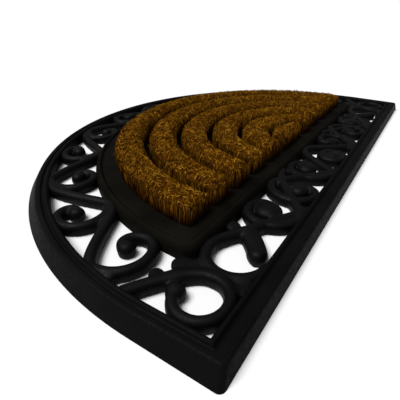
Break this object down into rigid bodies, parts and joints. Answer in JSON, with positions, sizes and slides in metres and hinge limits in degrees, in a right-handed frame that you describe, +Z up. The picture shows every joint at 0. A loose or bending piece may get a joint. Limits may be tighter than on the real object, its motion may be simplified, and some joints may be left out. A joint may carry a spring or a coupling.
{
  "type": "half-round doormat",
  "caption": "Half-round rubber doormat with an openwork scroll border and raised coir bristle arcs on a solid middle panel, for wiping shoes at a door.",
  "frame": {"origin": "under the middle of the mat, on the floor", "axes": "+X along the straight edge, +Y towards the round side, +Z up"},
  "size_m": [0.75, 0.45, 0.0403],
  "materials": {
    "rubber": "satin moulded black rubber",
    "coir": "brown coir bristle"
  },
  "bodies": {
    "root": {"rubber_mat": "rubber", "coir_centre": "coir", "coir_arc_1": "coir", "coir_arc_2": "coir", "coir_arc_3": "coir", "coir_arc_4": "coir", "coir_arc_5": "coir"}
  },
  "joints": []
}
